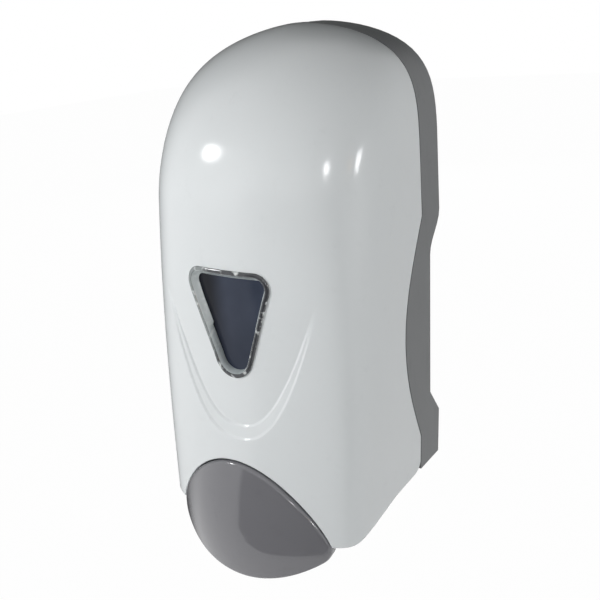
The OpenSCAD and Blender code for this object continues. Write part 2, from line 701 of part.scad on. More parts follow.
// ---- pump, all of it turned about one upright axis; the bottle stands above it ----
stem_r = 6;
body_wall = 1.5;
rod_r = 3;
air_top = 32;
liquid_h = 30;
seat_hole_r = 2;
stem_hole_r = stem_r + 3;
collar_base = 4;
module pump_collar() {
    color("whitesmoke") difference() {
        translate([0, pump_y, collar_z - collar_base])
            cylinder(r = collar_r, h = seat_z - collar_z + collar_base + neck_h - 3);
        translate([0, pump_y, collar_z]) cylinder(r = neck_r + thread_gap, h = far / 2);
        translate([0, pump_y, collar_z - 5]) cylinder(r = stem_hole_r, h = 10);
        for (a = [0:15:345]) translate([0, pump_y, collar_z - 5]) rotate([0, 0, a])
            translate([collar_r + 0.7, 0, 0]) cylinder(r = 1.5, h = far / 2);
    }
}
module neck_gasket() {
    color("darkslategray") ring(pump_y, body_z, neck_r, air_r + body_wall + 0.3, gasket_t);
}
module pump_body() {
    top = collar_z + air_top;
    color("white") translate([0, pump_y, 0]) difference() {
        union() {
            translate([0, 0, collar_z]) cylinder(r = neck_r, h = body_flange_t);
            translate([0, 0, collar_z]) cylinder(r = air_r + body_wall, h = air_top + 2);
            translate([0, 0, top]) cylinder(r = liquid_r + body_wall, h = liquid_h + 2);
        }
        translate([0, 0, collar_z - 1]) cylinder(r = air_r, h = air_top + 1);
        translate([0, 0, top - 1]) cylinder(r = liquid_r, h = liquid_h + 1);
        translate([0, 0, top]) cylinder(r = seat_hole_r, h = liquid_h + 3);
    }
}
module inlet_valve() {
    under = collar_z + air_top + liquid_h;
    color("orange") translate([0, pump_y, 0]) {
        translate([0, 0, under - 0.8]) cylinder(r = liquid_r - 0.6, h = 0.8);
        translate([0, 0, under - 0.5]) cylinder(r = seat_hole_r - 0.8, h = 3.5);
        translate([0, 0, under + 2]) cylinder(r = seat_hole_r + 0.5, h = 1.2);
    }
}
piston_h = 8;
foam_room = 26;
rod_h = 21;
piston_z = collar_z + air_top - 14 - piston_h;
head_z = piston_z + piston_h + rod_h;
rod_bore = 1.6;
seal_h = 4;
module pump_stem() {
    color("white") translate([0, pump_y, 0]) difference() {
        union() {
            translate([0, 0, piston_z - 1]) cylinder(r = rod_r, h = head_z - piston_z + 1);
            translate([0, 0, head_z]) cylinder(r = liquid_r - 0.4, h = 2);
            translate([0, 0, head_z - seal_h - 1]) cylinder(r = liquid_r - 0.4, h = 1);
            translate([0, 0, drive_z - 1]) cylinder(r = stem_r, h = piston_z - drive_z + 1);
            translate([0, 0, drive_z - drive_t]) cylinder(r = flange_r, h = drive_t);
            translate([0, 0, drive_z - drive_t - foam_room]) cylinder(r = chamber_r, h = foam_room + 1);
        }
        translate([0, 0, drive_z - 20]) cylinder(r = rod_bore, h = head_z - drive_z + 30);
        translate([0, 0, drive_z - drive_t - 27]) cylinder(r = chamber_r - body_wall, h = 21);
    }
}
chamber_r = 8;
module liquid_seal() {
    color("darkslategray") ring(pump_y, head_z - seal_h, liquid_r - run_gap, rod_r, seal_h);
}
module air_piston() {
    color("gainsboro") translate([0, pump_y, piston_z]) difference() {
        cylinder(r = air_r - run_gap, h = piston_h);
        translate([0, 0, -1]) cylinder(r = rod_r, h = piston_h + 2);
        translate([0, 0, 2]) difference() {
            cylinder(r = air_r - 1.2, h = piston_h);
            cylinder(r = rod_r + 1.4, h = piston_h);
        }
    }
}
module pump_spring() {
    color("silver") translate([0, pump_y, 0])
        coil(air_r - 2.6, 0.6, piston_z + 2.05, collar_z + air_top - 0.05, 5);
}
module outlet_valve() {
    top = drive_z - drive_t - 6;
    color("orange") translate([0, pump_y, 0]) {
        translate([0, 0, top - 1]) cylinder(r = chamber_r - body_wall - 0.1, h = 1);
        translate([0, 0, top - 5]) cylinder(r1 = 0.8, r2 = 3, h = 4.5);
    }
}
module foam_screens() {
    top = drive_z - drive_t - 12;
    bore = chamber_r - body_wall;
    color("ivory") translate([0, pump_y, top - 12]) difference() {
        cylinder(r = bore - 0.1, h = 12);
        translate([0, 0, 0.6]) cylinder(r = bore - 1.3, h = 10.8);
        translate([0, 0, -1]) cylinder(r = 0.9, h = 14);
        for (a = [0:60:300]) rotate([0, 0, a]) translate([3.1, 0, -1]) cylinder(r = 0.9, h = 14);
    }
}
nozzle_lap = 8;
nozzle_h = 28;
module nozzle() {
    end = drive_z - drive_t - foam_room;
    low = end + nozzle_lap - nozzle_h;
    color("whitesmoke") translate([0, pump_y, 0]) difference() {
        union() {
            translate([0, 0, end - 2]) cylinder(r = chamber_r + 1.2, h = nozzle_lap + 2);
            translate([0, 0, low]) cylinder(r1 = 5, r2 = chamber_r + 1.2, h = end - 2 - low);
        }
        translate([0, 0, end]) cylinder(r = chamber_r, h = nozzle_lap + 1);
        translate([0, 0, low - 1]) cylinder(r = 3.5, h = far);
    }
}

back_plate();
bottle_shelf();
shelf_screws();
hinge_pins();
lock_body();
lock_core();
lock_cam();
front_cover();
sight_window();
bar_pins();
push_bar();
bar_yoke();
bottle();
filler_cap();
cap_seal();
pump_collar();
neck_gasket();
pump_body();
inlet_valve();
pump_spring();
pump_stem();
liquid_seal();
air_piston();
outlet_valve();
foam_screens();
nozzle();
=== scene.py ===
# %% [markdown]
# A wall mounted soap dispenser, dressed for the camera.
# The construction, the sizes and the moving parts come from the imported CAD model. This notebook
# gives it its looks: smoother shells for the pieces that show, softened edges, plastic, rubber and
# metal finishes, a floor, lamps and a camera. The scene is in metres, in the CAD model's own frame:
# +Z runs up the wall, the front faces -Y, and +X is to the right of someone facing the dispenser.

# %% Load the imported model
import json
import math

import bmesh
import bpy
from mathutils import Matrix, Vector

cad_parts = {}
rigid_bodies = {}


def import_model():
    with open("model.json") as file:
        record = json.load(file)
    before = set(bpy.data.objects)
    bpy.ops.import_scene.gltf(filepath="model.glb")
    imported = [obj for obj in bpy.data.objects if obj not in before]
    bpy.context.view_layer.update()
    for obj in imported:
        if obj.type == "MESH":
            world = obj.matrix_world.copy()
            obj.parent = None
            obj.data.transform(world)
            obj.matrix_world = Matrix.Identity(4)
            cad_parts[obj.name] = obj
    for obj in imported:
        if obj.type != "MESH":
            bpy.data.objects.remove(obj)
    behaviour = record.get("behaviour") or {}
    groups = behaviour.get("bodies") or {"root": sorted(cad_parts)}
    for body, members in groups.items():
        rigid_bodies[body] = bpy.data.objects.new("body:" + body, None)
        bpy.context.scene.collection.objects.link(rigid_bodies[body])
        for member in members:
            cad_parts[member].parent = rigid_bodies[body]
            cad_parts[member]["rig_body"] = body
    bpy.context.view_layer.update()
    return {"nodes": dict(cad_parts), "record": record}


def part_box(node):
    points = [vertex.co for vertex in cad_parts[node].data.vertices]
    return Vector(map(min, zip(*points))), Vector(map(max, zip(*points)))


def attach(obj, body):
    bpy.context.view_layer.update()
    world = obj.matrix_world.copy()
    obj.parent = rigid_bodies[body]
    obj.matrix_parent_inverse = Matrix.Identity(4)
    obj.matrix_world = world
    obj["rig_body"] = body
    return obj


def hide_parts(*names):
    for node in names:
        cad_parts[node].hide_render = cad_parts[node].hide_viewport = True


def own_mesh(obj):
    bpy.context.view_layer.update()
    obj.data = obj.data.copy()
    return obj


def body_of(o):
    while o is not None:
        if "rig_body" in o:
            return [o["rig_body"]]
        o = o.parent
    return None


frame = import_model()
nodes = frame["nodes"]
MM = 0.001

# %% [markdown]
# The housing has no flat sides: its width, its depth and the squareness of its corners all change
# with the height. The same few formulas that draw it in the CAD source are written here once more,
# in millimetres, so that each visible shell can be drawn with as many faces as a smooth
# reflection needs. Heights are measured down from the crown.

# %% The form of the housing
CROWN_Z = 135
SHOULDER, BROW, BODY_H = 94, 82, 249.5
HALF_W, FOOT_HALF_W, WALL = 66.2, 61.5, 2.5
BROW_D, FOOT_D = 97, 110
EDGE_D, EDGE_BOW, EDGE_LOW = 19.6, 20.7, 22.5
BOW_START, BOW_MIDDLE, BOW_END = 96, 158, 221
CORNER_SQUARE, FOOT_SQUARE = 11, 12
FRONT_CROWN = 0.18
SPLIT_GAP = 0.4
BACK_Y = EDGE_D + SPLIT_GAP
DOME_D = BROW_D - EDGE_D


def half_width(drop):
    if drop < SHOULDER:
        return HALF_W * (1 - (1 - drop / SHOULDER) ** 6.5) ** 0.656
    below = (drop - SHOULDER) / (BODY_H - SHOULDER)
    return HALF_W - (HALF_W - FOOT_HALF_W) * below ** 1.6


def depth_at(drop):
    if drop < BROW:
        return EDGE_D + DOME_D * (1 - (1 - drop / BROW) ** 1.84) ** (1 / 1.84)
    below = (drop - BROW) / (BODY_H - BROW)
    return BROW_D + (FOOT_D - BROW_D) * below ** 1.25


def squareness(drop):
    """2 at the crown, where a level cut is an ellipse, and more where its corners are squarer."""
    down = drop / BODY_H
    return 2 + (CORNER_SQUARE - 2) * down ** 1.12 + FOOT_SQUARE * down ** 3


def edge_depth(drop):
    """How far in front of the wall the cover's rear edge runs: it bows forwards at mid height."""
    if drop < BOW_START:
        return EDGE_D
    if drop < BOW_MIDDLE:
        part = (drop - BOW_START) / (BOW_MIDDLE - BOW_START)
        return EDGE_D + EDGE_BOW * math.sin(math.pi / 2 * part)
    if drop < BOW_END:
        part = (drop - BOW_MIDDLE) / (BOW_END - BOW_MIDDLE)
        return EDGE_LOW + (EDGE_D + EDGE_BOW - EDGE_LOW) * math.cos(math.pi / 2 * part)
    return EDGE_LOW


def spans(drop, grow):
    """Half the width and the depth of the skin that stands grow outside the cover's."""
    wide = half_width(drop) * (1 + grow / HALF_W)
    deep = (depth_at(drop) - BACK_Y) * (1 + grow / DOME_D)
    return wide, deep


def skin_point(u, drop, grow=0.0):
    """A point of the skin: u runs from the right rear edge, 0, over the front to the left, 1."""
    wide, deep = spans(drop, grow)
    side = math.atan2(edge_depth(drop) - EDGE_D, deep * (1 - FRONT_CROWN))
    angle = side + (math.pi - 2 * side) * u
    m = squareness(drop)
    c, s = math.cos(angle), max(0.0, math.sin(angle))
    r = (abs(c) ** m + s ** m) ** (1 / m)
    across = c / r
    out = s / r * (1 - FRONT_CROWN * across * across)
    lifted = drop * (1 + grow / SHOULDER) - grow if drop < SHOULDER else drop
    return Vector((wide * across, -BACK_Y - deep * out, CROWN_Z - lifted))


def front_y(x, z, grow=0.0):
    """How far forward the front of that skin lies at x and z."""
    drop = CROWN_Z - z
    wide, deep = spans(drop, grow)
    m = squareness(drop)
    across = min(1.0, abs(x) / wide)
    out = (1 - across ** m) ** (1 / m) * (1 - FRONT_CROWN * across * across)
    return -BACK_Y - deep * out


print("front at the window:", round(front_y(0, 0), 2), "mm")

# %% [markdown]
# Under the window the front is dished: a shallow scoop in the shape of a U, whose floor lies
# deepest at the bottom and rises to nothing at the tips. It goes down in two small, steep steps
# with a gentle slope between them, which show as two bright lines. A cut would leave edges that
# no mould has. Here the skin is pushed back by a function of the distance from the U instead.

# %% The scoop in the cover's front
SCOOP_LOW, SCOOP_HIGH = -61.0, 12.0
SCOOP_HALF_W, SCOOP_POWER = 47.0, 2.5
SCOOP_BAND, TIP_BAND = 7.0, 0.7
STEP_DEPTH, SLOPE_DEPTH, STEP_W = 0.82, 1.3, 1.2
STEP_SOFT, SLOPE_SOFT, STEP_FADE = 0.2, 0.12, 2.5


def soft_ramp(t, soft):
    """0 before 0, 1 after 1 and straight between them, with rounded ends."""
    return (math.hypot(t, soft) - math.hypot(t - 1, soft) + 1) / 2


def from_scoop_edge(x, z):
    """The distance inside the U at x and z, negative outside, and how far it has faded."""
    rise = (z - SCOOP_LOW) / (SCOOP_HIGH - SCOOP_LOW)
    side = abs(x) / SCOOP_HALF_W
    slope = math.hypot(1 / (SCOOP_HIGH - SCOOP_LOW),
                       SCOOP_POWER / SCOOP_HALF_W * side ** (SCOOP_POWER - 1))
    return (rise - side ** SCOOP_POWER) / slope, min(1.0, max(0.0, 1 - rise))


def band_width(fade):
    return TIP_BAND + (SCOOP_BAND - TIP_BAND) * fade


def scoop(x, z):
    """How far the front is pushed in at x and z."""
    inside, fade = from_scoop_edge(x, z)
    if inside < -2 or fade == 0:
        return 0.0
    band = band_width(fade)
    step = STEP_DEPTH * min(1.0, fade * STEP_FADE)
    pushed = SLOPE_DEPTH * fade * soft_ramp(inside / band, SLOPE_SOFT)
    pushed += step * soft_ramp(inside / STEP_W + 0.5, STEP_SOFT)
    pushed += step * soft_ramp((inside - band) / STEP_W + 0.5, STEP_SOFT)
    return pushed


def surface(x, z, height=0.0):
    """A point on the dished front, height millimetres in front of it."""
    return Vector((x, front_y(x, z) + scoop(x, z) - height, z))


print("deepest push:", round(scoop(0, SCOOP_LOW + 12), 2), "mm")

# %% [markdown]
# Every new piece is finished in the same way: scaled from millimetres to metres, shaded smooth
# up to a chosen angle, given its finish, and hung on the CAD body that it moves with.

# %% Helpers that finish a piece
def finish_piece(bm, name, body, material, stands_for, sharp=35):
    """Turns a bmesh in millimetres into a finished piece on a body, in place of CAD nodes."""
    bmesh.ops.scale(bm, vec=(MM, MM, MM), verts=bm.verts)
    mesh = bpy.data.meshes.new(name)
    bm.to_mesh(mesh)
    bm.free()
    mesh.shade_smooth()
    mesh.set_sharp_from_angle(angle=math.radians(sharp))
    mesh.materials.append(material)
    piece = bpy.data.objects.new(name, mesh)
    bpy.context.scene.collection.objects.link(piece)
    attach(piece, body)
    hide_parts(*stands_for)
    print(name, "faces:", len(mesh.polygons))
    return piece


def swept(rings, closed=False, mid_first=None, mid_last=None):
    """A skin drawn through like rings of points. Its ends are joined, or capped at a middle."""
    bm = bmesh.new()
    bmesh.ops.create_circle(bm, segments=len(rings[0]), radius=1, cap_ends=False)
    bm.verts.ensure_lookup_table()
    step = bm.verts.layers.int.new("step")
    for i, vert in enumerate(bm.verts):
        vert[step] = i
        vert.co = rings[0][i]
    first = edges = list(bm.edges)
    for ring in rings[1:]:
        grown = bmesh.ops.extrude_edge_only(bm, edges=edges)["geom"]
        for item in grown:
            if isinstance(item, bmesh.types.BMVert):
                item.co = ring[item[step]]
        edges = [item for item in grown if isinstance(item, bmesh.types.BMEdge)
                 and all(v in grown for v in item.verts)]
    if closed:
        bmesh.ops.bridge_loops(bm, edges=first + edges)
    for loop, middle in ((first, mid_first), (edges, mid_last)):
        if middle is not None:
            cap = bmesh.ops.contextual_create(bm, geom=loop)["faces"]
            centre = bmesh.ops.poke(bm, faces=cap)["verts"]
            centre[0].co = middle
    bmesh.ops.recalc_face_normals(bm, faces=bm.faces)
    return bm


def turned(profile, start):
    """A lathe shape: a closed outline of (radius, length) points spun round X from start."""
    bm = bmesh.new()
    verts = [bm.verts.new((r, 0, length)) for r, length in profile]
    edges = [bm.edges.new(pair) for pair in zip(verts, verts[1:] + verts[:1])]
    bmesh.ops.spin(bm, geom=verts + edges, cent=(0, 0, 0), axis=(0, 0, 1),
                   angle=2 * math.pi, steps=48, use_merge=True)
    bmesh.ops.remove_doubles(bm, verts=bm.verts, dist=1e-5)
    bmesh.ops.recalc_face_normals(bm, faces=bm.faces)
    along_x = Matrix.Rotation(math.pi / 2, 4, "Y")
    bmesh.ops.transform(bm, matrix=Matrix.Translation(start) @ along_x, verts=bm.verts)
    return bm


def joined(parts):
    """Puts several bmeshes into one."""
    whole = bmesh.new()
    for bm in parts:
        mesh = bpy.data.meshes.new("part")
        bm.to_mesh(mesh)
        bm.free()
        whole.from_mesh(mesh)
        bpy.data.meshes.remove(mesh)
    return whole


print("ways to draw a piece: swept, turned and joined")

# %% [markdown]
# A finish is a tree of shader nodes. Wiring it one link at a time hides what it does, so a small
# class wraps a socket and lets Python's own arithmetic add the Math nodes: mask * 0.3 + 0.1 reads
# as the formula that it is. A second class holds the tree and adds every other kind of node, and
# a third is a material's own tree, with the patterns that its finish is made of.

# %% Shader arithmetic
class Channel:
    """A socket that Python's operators work on."""

    def __init__(self, graph, socket):
        self.graph, self.socket = graph, socket

    def _math(self, operation, *values):
        return self.graph.add("ShaderNodeMath", {"operation": operation}, dict(enumerate(values)))

    def __add__(self, other):
        return self._math("ADD", self, other)

    def __sub__(self, other):
        return self._math("SUBTRACT", self, other)

    def __rsub__(self, other):
        return self._math("SUBTRACT", other, self)

    def __mul__(self, other):
        return self._math("MULTIPLY", self, other)

    def __truediv__(self, other):
        return self._math("DIVIDE", self, other)

    def turned_from(self, other):
        """The angle whose tangent is this value over the other."""
        return self._math("ARCTAN2", self, other)

    def above(self, low, high):
        """0 below low, 1 above high and smooth between them."""
        return self.graph.add("ShaderNodeMapRange", {"interpolation_type": "SMOOTHSTEP"},
                              {"Value": self, "From Min": low, "From Max": high})

    def sine(self):
        return self._math("SINE", self)

    __radd__, __rmul__ = __add__, __mul__


class Graph:
    """A shader's tree of nodes."""

    def __init__(self, tree):
        self.tree = tree

    def add(self, kind, settings, inputs, output=0):
        """Adds a node: its settings first, then its sockets' values or links."""
        node = self.tree.nodes.new(kind)
        for key, value in settings.items():
            setattr(node, key, value)
        for key, value in inputs.items():
            self.fill(self.socket(node, key), value)
        return Channel(self, node.outputs[output])

    def socket(self, node, key):
        if isinstance(key, int):
            return node.inputs[key]
        return next(s for s in node.inputs if key == s.identifier or (s.enabled and key == s.name))

    def fill(self, socket, value):
        if isinstance(value, Channel):
            self.tree.links.new(value.socket, socket)
        elif socket.type == "RGBA" and len(value) == 3:
            socket.default_value = (*value, 1)
        else:
            socket.default_value = value


class Finish(Graph):
    """A material round one Principled shader."""

    def __init__(self, name, **fixed):
        self.material = bpy.data.materials.new(name)
        self.material.use_nodes = True
        super().__init__(self.material.node_tree)
        self.shader = self.tree.nodes["Principled BSDF"]
        self.set(**fixed)
        self.place = self.add("ShaderNodeTexCoord", {}, {}, "Object")

    def set(self, **sockets):
        """Sets or links the shader's sockets: base_color=... means Base Color."""
        for key, value in sockets.items():
            name = key.replace("_", " ").title().replace("Ior", "IOR")
            self.fill(self.shader.inputs[name], value)

    def noise(self, size, detail, stretch=None, rough=0.5):
        """Smooth noise with features of about size millimetres, from 0 to 1."""
        place = self.place
        if stretch:
            place = self.add("ShaderNodeMapping", {}, {"Vector": place, "Scale": stretch})
        return self.add("ShaderNodeTexNoise", {}, {"Vector": place, "Scale": 1 / (size * MM),
                        "Detail": detail, "Roughness": rough})

    def along(self, axis):
        """The object's own X, Y or Z, in metres."""
        return self.add("ShaderNodeSeparateXYZ", {}, {0: self.place}, axis)

    def mix(self, factor, a, b):
        return self.add("ShaderNodeMix", {"data_type": "RGBA"},
                        {"Factor_Float": factor, "A_Color": a, "B_Color": b}, "Result")

    def bump(self, height, depth, on=None):
        """A bump of that depth in millimetres, on top of another one if given."""
        inputs = {"Height": height, "Distance": depth * MM}
        if on is not None:
            inputs["Normal"] = on
        return self.add("ShaderNodeBump", {}, inputs)


print("shader tools: Channel, Graph and Finish")

# %% [markdown]
# No real surface is one flat colour. Moulded plastic is faintly cloudy, carries the mould's grain
# and gets rubbed where hands reach it; metal keeps the lines of its brushing; rubber blooms. Image
# textures could show that, but they would have to be laid out on every piece. Noise that is worked
# out from the place in the object needs no layout, and it stays sharp from close up.

# %% Kinds of finish
def tint(colour, factor):
    return tuple(min(1.0, c * factor) for c in colour)


def moulded(name, colour, gloss, grain, grain_depth, dust, mottle=0.03, wave=0.0, **fixed):
    """Moulded plastic: a slight cloudiness, a grain or an orange peel, and handling marks."""
    f = Finish(name, **fixed)
    cloud = f.noise(38, 3)
    base = f.mix(cloud, tint(colour, 1 - mottle), tint(colour, 1 + mottle))
    marks = f.noise(9, 6, rough=0.7).above(0.55, 0.8)
    base = f.mix(marks * dust, base, tint(colour, 0.86))
    rub = f.noise(3.5, 4, stretch=(1, 1, 0.15)).above(0.5, 0.75)
    normal = f.bump(f.noise(grain, 2), grain_depth)
    if wave:
        normal = f.bump(f.noise(55, 0), wave, on=normal)
    f.set(base_color=base, roughness=cloud * 0.04 + marks * 0.06 + rub * 0.05 + gloss,
          normal=normal)
    return f.material


def metal(name, colour, gloss, brush, spots=0.2):
    """Plated or drawn metal: fine lines, drawn out where brush is small, and a few dull spots."""
    f = Finish(name, metallic=1.0)
    lines = f.noise(0.5, 3, stretch=brush)
    spot = f.noise(2.2, 4).above(0.52, 0.72)
    base = f.mix(spot * spots, colour, tint(colour, 0.55))
    f.set(base_color=base, roughness=lines * 0.16 + spot * 0.15 + gloss,
          normal=f.bump(lines, 0.01))
    return f.material


def rubber(name, colour):
    """Moulded rubber: matt, faintly dusty, with a fine pitted skin."""
    f = Finish(name, specular_ior_level=0.4)
    bloom = f.noise(6, 4).above(0.45, 0.75)
    f.set(base_color=f.mix(bloom * 0.5, colour, tint(colour, 1.5)),
          roughness=bloom * 0.15 + 0.55, normal=f.bump(f.noise(0.6, 2), 0.02))
    return f.material


print("kinds of finish: moulded plastic, metal and rubber")

# %% [markdown]
# The finishes. The cover is glossy white plastic that leans a little to blue, the back plate is a
# satin grey with a fine spark grain, and the push bar is a glossy grey. Inside are natural, half
# clear plastic, plain white plastic, rubber, spring steel, zinc and nickel plate, and brass. Each
# colour is a share of the light that comes back, and each size is in millimetres.

# %% The finishes
WHITE = (0.755, 0.785, 0.795)
finishes = {
    "cover_white": moulded("glossy white cover", WHITE, 0.11, 1.1, 0.006, mottle=0.012,
                           wave=0.05, dust=0.25, specular_ior_level=0.4),
    "plate_grey": moulded("satin grey plate", (0.144, 0.150, 0.154), 0.40, 0.55, 0.06,
                          mottle=0.09, dust=0.6),
    "shelf_grey": moulded("satin grey shelf", (0.24, 0.25, 0.26), 0.45, 0.5, 0.03, mottle=0.05,
                          dust=0.5),
    "bar_grey": moulded("glossy grey push bar", (0.172, 0.172, 0.186), 0.09, 0.9, 0.006,
                        mottle=0.02, wave=0.05, dust=0.5, coat_weight=0.5, coat_roughness=0.03),
    "yoke_grey": moulded("satin grey yoke", (0.22, 0.22, 0.23), 0.4, 0.6, 0.02, mottle=0.05,
                         dust=0.5),
    "bottle_clear": moulded("natural bottle plastic", (0.83, 0.86, 0.86), 0.3, 1.4, 0.02,
                            mottle=0.02, wave=0.1, dust=0.2, transmission_weight=0.35, ior=1.5),
    "cap_white": moulded("satin white cap", (0.75, 0.76, 0.76), 0.32, 0.6, 0.015, dust=0.3),
    "pump_white": moulded("white pump plastic", (0.73, 0.75, 0.76), 0.28, 0.8, 0.01, dust=0.3),
    "nozzle_white": moulded("white nozzle plastic", (0.74, 0.75, 0.75), 0.24, 0.8, 0.01,
                            dust=0.3),
    "seal_rubber": rubber("dark seal rubber", (0.03, 0.032, 0.035)),
    "valve_rubber": rubber("soft valve rubber", (0.42, 0.30, 0.20)),
    "pin_steel": metal("drawn pin steel", (0.62, 0.62, 0.63), 0.2, (0.04, 1, 1)),
    "spring_steel": metal("spring steel", (0.50, 0.50, 0.52), 0.22, (1, 1, 1), 0.35),
    "zinc_steel": metal("zinc plated steel", (0.60, 0.61, 0.62), 0.3, (1, 1, 1), 0.5),
    "lock_metal": metal("nickel plated lock", (0.66, 0.65, 0.62), 0.22, (1, 0.05, 1)),
    "lock_brass": metal("lock brass", (0.62, 0.45, 0.20), 0.28, (1, 0.05, 1), 0.4),
}
print("finishes:", len(finishes))

# %% [markdown]
# Two finishes need a pattern of their own. The foam screens in the nozzle are woven wire, drawn
# as two sets of sine waves across each other. The window is clear plastic that looks dark where
# the unlit inside of the housing is behind it, so its pane is painted with that shade: a dark body
# under a clear gloss, painted nearly black at the left and darker towards the bottom.

# %% Woven wire and window plastic
def woven_wire(name):
    f = Finish(name, metallic=0.9)
    pitch = 2 * math.pi / (0.7 * MM)
    weave = (f.along("X") * pitch).sine() * (f.along("Y") * pitch).sine()
    wire = weave.above(-0.2, 0.5)
    f.set(base_color=f.mix(wire, (0.12, 0.12, 0.13), (0.62, 0.63, 0.64)),
          roughness=wire * -0.2 + 0.5, normal=f.bump(wire, 0.1))
    return f.material


def painted_shade_pane(name):
    f = Finish(name, specular_ior_level=0.15)
    # painted shade: slate tones for the unlit inside seen through the pane, nearly black at the
    # left and darker towards the bottom
    left = (f.along("X") * -1).above(0.001, 0.015)
    low = (f.along("Z") * -1).above(-0.006, 0.02)
    cloud = f.noise(14, 4)
    base = f.mix(cloud, (0.034, 0.042, 0.064), (0.052, 0.062, 0.090))
    base = f.mix(left * 0.9, base, (0.004, 0.004, 0.006))
    base = f.mix(low * 0.4, base, (0.018, 0.022, 0.036))
    f.set(base_color=base, roughness=cloud * 0.05 + 0.08, normal=f.bump(f.noise(20, 1), 0.03))
    return f.material


def clear_plastic(name, deep, pale, lit_left_tone, spark):
    """Clear plastic with painted light: cloudy tones, painted lighter at the left, and painted
    glints.
    """
    f = Finish(name, specular_ior_level=0.8)
    cloud = f.noise(5, 3)
    # painted light: the left side is painted in a lighter tone
    left = (f.along("X") * -1).above(0.008, 0.016)
    base = f.mix(left * 0.75, f.mix(cloud, deep, pale), lit_left_tone)
    # painted highlights: glints painted in bright patches
    painted_glint = f.noise(3.2, 1).above(0.56, 0.76)
    f.set(base_color=f.mix(painted_glint * spark, base, (0.85, 0.88, 0.88)),
          roughness=cloud * 0.04 + 0.03)
    return f.material


finishes["screen_mesh"] = woven_wire("woven steel screens")
# the pane's dark finish is painted shade of the unlit inside behind clear plastic
finishes["window_smoke"] = painted_shade_pane("window pane with painted shade")
# painted light and shade: the rim's dark tones stand in for the unlit inside seen through it, and
# the bevel's pale tones for the cover's cut edge seen through it
rim_finish = clear_plastic("clear window rim", (0.010, 0.011, 0.014), (0.065, 0.07, 0.08),
                           (0.30, 0.33, 0.33), 0.8)
bevel_finish = clear_plastic("clear window bevel", (0.30, 0.34, 0.35), (0.60, 0.65, 0.66),
                             (0.74, 0.80, 0.80), 0.6)

# %% [markdown]
# The cover is a moulded shell, one wall thick, open at the back and the bottom. One way is to
# take the CAD mesh and smooth it, but its facets would still show in the gloss. Instead a flat
# grid is laid over the form by the formulas above: every column of the grid runs from the crown
# down to wherever the cover ends there, on the arch over the push bar or on the foot line.

# %% Where the cover ends below
TIP_Z = CROWN_Z - BODY_H
HEEL_Y, HEEL_Z, HEEL_R = -29.9, -101.0, 7.0
FOOT_LINE = [(HEEL_Y, HEEL_Z - HEEL_R), (-51.9, -108.6), (-74.9, -112.3), (-97.9, TIP_Z)]
ARCH_HALF, ARCH_RISE, ARCH_POWER = 49.8, 40.3, 0.82
# the arch, the scoop and the window all lie further forward than this
FRONT_Y = -60


def arch_z(x, half=ARCH_HALF, rise=ARCH_RISE):
    return TIP_Z + rise * max(0.0, 1 - (x / half) ** 2) ** ARCH_POWER


def end_z(x, y):
    """The height that the cover ends at: on the arch in front, else on the foot line."""
    if abs(x) < ARCH_HALF and y < FRONT_Y:
        return arch_z(x)
    if y > HEEL_Y:
        return HEEL_Z - math.sqrt(max(0.0, HEEL_R ** 2 - (y - HEEL_Y) ** 2))
    for (y0, z0), (y1, z1) in zip(FOOT_LINE, FOOT_LINE[1:]):
        if y >= y1:
            return z0 + (z1 - z0) * (y - y0) / (y1 - y0)
    return TIP_Z


def end_drop(u, grow=0.0):
    """How far below the crown the column at u ends, found by halving the miss."""
    drop = CROWN_Z - TIP_Z
    for _ in range(14):
        point = skin_point(u, drop, grow)
        drop = 0.5 * drop + 0.5 * (CROWN_Z - end_z(point.x, point.y))
    return drop


def even_columns(count, rear_steps):
    """Values of u, closer together where the cover's lower edge turns or runs steeply."""
    fine = 1600
    edge = [skin_point(i / fine, end_drop(i / fine)) for i in range(fine + 1)]
    girth = [skin_point(i / fine, SHOULDER) for i in range(fine + 1)]
    reach = [0.0]
    for i in range(fine):
        reach.append(reach[-1] + 0.9 * (edge[i + 1] - edge[i]).length
                     + (girth[i + 1] - girth[i]).length)
    marks, i = [], 0
    for k in range(count):
        goal = reach[-1] * k / count
        while reach[i + 1] < goal:
            i += 1
        marks.append((i + (goal - reach[i]) / (reach[i + 1] - reach[i])) / fine)
    near = [u for u in marks if rear_steps[-1] < u < 1 - rear_steps[-1]]
    return rear_steps + near + [1 - u for u in reversed(rear_steps)]


columns = even_columns(216, [0, 0.001, 0.0022, 0.0036, 0.0055, 0.0085, 0.013])
print("columns:", len(columns))

# %% [markdown]
# The rows of the grid are close together where the form turns fast: on the dome, over the scoop
# and at the lower edge. Down to the scoop's foot they lie at the same heights in every column, and
# below it each column shares out what is left down to its own end.

# %% The rows of the cover's grid
FIRST_DROP, DISH_TOP, DISH_MIDDLE, DISH_FOOT = 0.06, 121, 175, 201


def evenly(start, stop, count):
    """That many even steps from start on, without stop itself."""
    return [start + (stop - start) * i / count for i in range(count)]


dome = [FIRST_DROP + (SHOULDER - FIRST_DROP) * (i / 54) ** 2 for i in range(54)]
shared = dome + evenly(SHOULDER, DISH_TOP, 13) + evenly(DISH_TOP, DISH_MIDDLE, 48) \
    + evenly(DISH_MIDDLE, DISH_FOOT, 38) + [DISH_FOOT]
# the last rows, by their distance from the column's end
edge_steps = [3.0, 2.2, 1.5, 1.0, 0.6, 0.35, 0.15, 0.0]


def column_drops(u, grow):
    """The drops of one column's rows: shared ones down to the dish's foot, then to its end."""
    end = end_drop(u, grow)
    last = end - edge_steps[0]
    skirt = [DISH_FOOT + (last - DISH_FOOT) * (i / 18) for i in range(1, 18)]
    return [0.0] + shared + skirt + [end - step for step in edge_steps]


row_count = len(column_drops(0.5, 0.0))
print("rows:", row_count)

# %% One skin of the cover, and how its edges are rounded
EDGE_R, REAR_R = 0.9, 0.5


def eased(distance, radius):
    """How far a skin falls back at that distance from a rounded edge."""
    if distance >= radius:
        return 0.0
    return radius - math.sqrt(radius ** 2 - (radius - max(0.0, distance)) ** 2)


